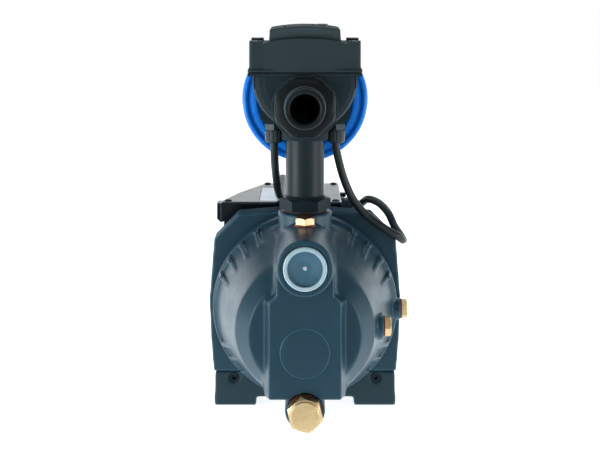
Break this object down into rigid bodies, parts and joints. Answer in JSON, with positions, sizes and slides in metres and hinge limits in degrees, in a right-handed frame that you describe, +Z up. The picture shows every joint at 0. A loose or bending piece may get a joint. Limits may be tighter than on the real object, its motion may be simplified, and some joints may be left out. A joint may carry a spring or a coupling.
{
  "type": "shallow well jet pump",
  "caption": "Self-priming shallow well jet pump: cast casing with front suction port and ejector pad, finned motor behind, and an electronic pressure controller with blue cover on a riser pipe.",
  "frame": {"origin": "on the floor plane, at the middle of the four foot bolt holes", "axes": "+Z up; -Y is the suction and outlet side, +Y runs along the shaft towards the fan; +X is the right hand side seen from the suction side"},
  "size_m": [0.1702, 0.4239, 0.3299],
  "materials": {
    "casing_paint": "satin",
    "bracket_paint": "satin",
    "black_plastic": "fine moulded texture",
    "box_plastic": "satin moulded",
    "cover_blue": "gloss",
    "cap_plastic": "translucent",
    "brass": "turned",
    "fibre_red": "matte",
    "rubber_black": "matte",
    "cable_rubber": "satin",
    "steel_zinc": "zinc plated",
    "steel_stainless": "satin",
    "steel_core": "laminated",
    "aluminium_cast": "cast",
    "copper_winding": "enamelled copper",
    "noryl_white": "moulded",
    "carbon": "lapped",
    "ceramic": "lapped",
    "plate_white": "printed blank",
    "button_grey": "moulded",
    "pcb_green": "circuit board"
  },
  "bodies": {
    "pump": {"pump_casing": "casing_paint", "plug_washers": "fibre_red", "ejector_nozzle": "noryl_white", "ejector_venturi": "noryl_white", "diffuser": "noryl_white", "seal_seat": "ceramic", "casing_o_ring": "rubber_black", "motor_bracket": "bracket_paint", "casing_bolts": "steel_zinc", "foot_base": "bracket_paint", "foot_screws": "steel_zinc", "stator_housing": "aluminium_cast", "stator_core": "steel_core", "stator_windings": "copper_winding", "bearing_outer_rings": "steel_stainless", "rear_end_shield": "aluminium_cast", "fan_cover": "bracket_paint", "fan_cover_screws": "steel_zinc", "tie_rods": "steel_zinc", "terminal_box_lid": "box_plastic", "terminal_box_base": "box_plastic", "terminal_box_screws": "steel_zinc", "rating_plate": "plate_white", "run_capacitor": "noryl_white", "terminal_block": "noryl_white", "motor_cable_gland": "black_plastic", "riser_pipe": "black_plastic", "riser_gasket": "rubber_black", "controller_body": "black_plastic", "outlet_nipple": "black_plastic", "controller_gasket": "rubber_black", "controller_lid": "black_plastic", "controller_lid_screws": "steel_zinc", "control_panel": "black_plastic", "controller_pcb": "pcb_green", "valve_spring": "steel_stainless", "diaphragm": "rubber_black", "pressure_spring": "steel_stainless", "diaphragm_cover": "cover_blue", "controller_glands": "black_plastic", "motor_cable": "cable_rubber", "mains_cable": "cable_rubber", "mains_plug": "rubber_black"},
    "rotor": {"motor_shaft": "steel_stainless", "rotor_core": "steel_core", "impeller": "brass", "impeller_nut": "steel_stainless", "seal_rotating_ring": "carbon", "seal_spring": "steel_stainless", "bearing_inner_rings": "steel_stainless", "cooling_fan": "black_plastic"},
    "ball_sets": {"bearing_balls": "steel_stainless"},
    "button": {"restart_button": "button_grey"},
    "valve": {"flow_valve": "noryl_white"},
    "piston": {"diaphragm_plate": "noryl_white"},
    "priming": {"priming_plug": "brass"},
    "drain": {"drain_plug": "brass"},
    "gauge": {"gauge_plug": "brass"},
    "vent": {"vent_plug": "brass"},
    "transit_cap": {"suction_transit_cap": "cap_plastic"}
  },
  "joints": [
    {"name": "rotor_spin", "type": "hinge", "parent": "pump", "child": "rotor", "pos_m": [0, 0, 0.089], "axis": [0, 1, 0], "continuous": true},
    {"name": "ball_spin", "type": "hinge", "parent": "pump", "child": "ball_sets", "pos_m": [0, 0, 0.089], "axis": [0, 1, 0], "continuous": true},
    {"name": "restart_press", "type": "slide", "parent": "pump", "child": "button", "axis": [0, 0, -1], "range_m": [0, 0.0018], "stiffness_N_per_m": 400, "springref_m": -0.002},
    {"name": "valve_lift", "type": "slide", "parent": "pump", "child": "valve", "axis": [0, 0, 1], "range_m": [0, 0.008], "stiffness_N_per_m": 25, "springref_m": -0.004, "deforming": ["valve_spring"]},
    {"name": "piston_stroke", "type": "slide", "parent": "pump", "child": "piston", "axis": [0, 1, 0], "range_m": [0, 0.004], "stiffness_N_per_m": 600, "springref_m": -0.004, "deforming": ["pressure_spring"]},
    {"name": "priming_plug_out", "type": "slide", "parent": "pump", "child": "priming", "axis": [0, 0, 1], "range_m": [0, 0.025]},
    {"name": "drain_plug_out", "type": "slide", "parent": "pump", "child": "drain", "axis": [0, -1, 0], "range_m": [0, 0.03]},
    {"name": "gauge_plug_out", "type": "slide", "parent": "pump", "child": "gauge", "axis": [1, 0, 0], "range_m": [0, 0.02]},
    {"name": "vent_plug_out", "type": "slide", "parent": "pump", "child": "vent", "axis": [1, 0, 0], "range_m": [0, 0.016]},
    {"name": "transit_cap_out", "type": "slide", "parent": "pump", "child": "transit_cap", "axis": [0, -1, 0], "range_m": [0, 0.06]}
  ],
  "couplings": [
    {"joint": "ball_spin", "follows": "rotor_spin", "ratio": 0.3812}
  ]
}
